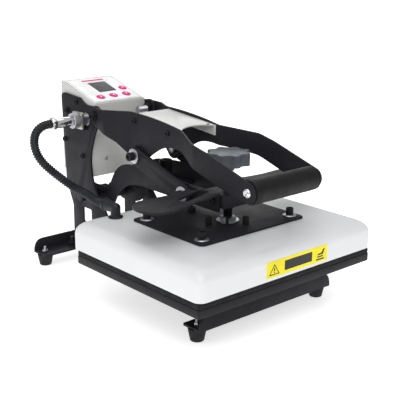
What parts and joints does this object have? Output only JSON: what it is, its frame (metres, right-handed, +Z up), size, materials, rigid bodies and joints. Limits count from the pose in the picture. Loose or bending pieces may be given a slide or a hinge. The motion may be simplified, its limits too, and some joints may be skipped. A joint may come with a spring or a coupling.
{
  "type": "heat press",
  "caption": "Clamshell heat press: heated platen on a pivoting arm, toggle links and fork handle over a padded lower platen, with a control box on the rear uprights.",
  "frame": {"origin": "centre of the footprint's bounding box, on the floor under the rubber feet", "axes": "+Z up, -Y towards the grip and the operator, +X to the operator's right"},
  "size_m": [0.328, 0.47, 0.2856],
  "materials": {
    "black_coat": "fine matt black powder coat",
    "white_coat": "satin off-white powder coat",
    "grey_coat": "satin light warm grey powder coat",
    "zinc": "bright zinc plate",
    "chrome": "bright nickel-chrome plate",
    "aluminium": "as machined",
    "dark_steel": "black oxide",
    "rubber": "moulded black rubber",
    "foam_grip": "matt black foam rubber sleeve",
    "silicone": "soft black silicone sheet",
    "black_plastic": "moulded nylon",
    "knob_plastic": "moulded grey plastic",
    "overlay": "printed membrane, plain",
    "display": "dark display window",
    "button": "magenta push buttons"
  },
  "bodies": {
    "frame": {"left_side_frame": "black_coat", "right_side_frame": "black_coat", "front_foot_bar": "black_coat", "rear_foot_bar": "black_coat", "front_left_foot": "rubber", "front_right_foot": "rubber", "rear_left_foot": "rubber", "rear_right_foot": "rubber", "frame_tie_bar": "black_coat", "arm_pivot_shaft": "dark_steel", "left_handle_pivot": "dark_steel", "right_handle_pivot": "dark_steel", "left_return_spring": "zinc", "right_return_spring": "zinc", "lower_platen": "dark_steel", "silicone_pad": "silicone", "control_box": "grey_coat", "rear_cover": "grey_coat", "panel_overlay": "overlay", "display_window": "display", "power_inlet": "black_plastic", "panel_socket": "zinc", "coupling_ring": "zinc", "plug_sleeve": "chrome", "gland_nut": "chrome", "conduit": "black_plastic"},
    "arm": {"left_arm": "black_coat", "right_arm": "black_coat", "spindle_block": "black_coat", "arm_cross_bar": "black_coat", "stop_damper": "dark_steel"},
    "platen": {"platen_cover": "white_coat", "heating_plate": "aluminium", "mounting_plate": "black_coat", "front_left_mount_screw": "zinc", "front_right_mount_screw": "zinc", "rear_left_mount_screw": "zinc", "rear_right_mount_screw": "zinc", "spindle_flange": "zinc", "conduit_elbow": "black_plastic"},
    "knob": {"pressure_knob": "knob_plastic", "pressure_spindle": "dark_steel"},
    "handle": {"left_handle_bar": "black_coat", "right_handle_bar": "black_coat", "handle_tube": "aluminium", "handle_grip": "foam_grip", "left_grip_bolt": "chrome", "right_grip_bolt": "chrome", "handle_cover": "grey_coat", "left_upper_link_screw": "zinc", "right_upper_link_screw": "zinc"},
    "links": {"left_link": "black_coat", "right_link": "black_coat", "left_lower_pin": "zinc", "right_lower_pin": "zinc"},
    "rocker": {"power_rocker": "black_plastic"},
    "button_1": {"panel_button_1": "button"},
    "button_2": {"panel_button_2": "button"},
    "button_3": {"panel_button_3": "button"},
    "button_4": {"panel_button_4": "button"}
  },
  "joints": [
    {"name": "handle_hinge", "type": "hinge", "parent": "frame", "child": "handle", "pos_m": [0, 0.133, 0.243], "axis": [-1, 0, 0], "range_deg": [0, 90]},
    {"name": "arm_hinge", "type": "hinge", "parent": "frame", "child": "arm", "pos_m": [0, 0.177, 0.106], "axis": [-1, 0, 0], "range_deg": [0, 26.5], "deforming": ["conduit"]},
    {"name": "link_hinge", "type": "hinge", "parent": "handle", "child": "links", "pos_m": [0, 0.052, 0.193], "axis": [-1, 0, 0], "range_deg": [-108.5, 0]},
    {"name": "platen_adjust", "type": "slide", "parent": "arm", "child": "platen", "axis": [0, 0, 1], "range_m": [0, 0.004]},
    {"name": "knob_turn", "type": "hinge", "parent": "platen", "child": "knob", "pos_m": [0, -0.108, 0.205], "axis": [0, 0, 1], "range_deg": [0, 823.5]},
    {"name": "rocker_tilt", "type": "hinge", "parent": "frame", "child": "rocker", "pos_m": [-0.022, 0.2286, 0.179], "axis": [0, 0, -1], "range_deg": [0, 16]},
    {"name": "button_1_press", "type": "slide", "parent": "frame", "child": "button_1", "axis": [0, 0.2775, -0.9607], "range_m": [0, 0.0005], "stiffness_N_per_m": 400, "springref_m": -0.0005},
    {"name": "button_2_press", "type": "slide", "parent": "frame", "child": "button_2", "axis": [0, 0.2775, -0.9607], "range_m": [0, 0.0005], "stiffness_N_per_m": 400, "springref_m": -0.0005},
    {"name": "button_3_press", "type": "slide", "parent": "frame", "child": "button_3", "axis": [0, 0.2775, -0.9607], "range_m": [0, 0.0005], "stiffness_N_per_m": 400, "springref_m": -0.0005},
    {"name": "button_4_press", "type": "slide", "parent": "frame", "child": "button_4", "axis": [0, 0.2775, -0.9607], "range_m": [0, 0.0005], "stiffness_N_per_m": 400, "springref_m": -0.0005}
  ],
  "couplings": [
    {"joint": "arm_hinge", "follows": "handle_hinge", "ratio": 0.2918},
    {"joint": "link_hinge", "follows": "handle_hinge", "ratio": -1.2007},
    {"joint": "knob_turn", "follows": "platen_adjust", "rad_per_m": 3590.4}
  ]
}
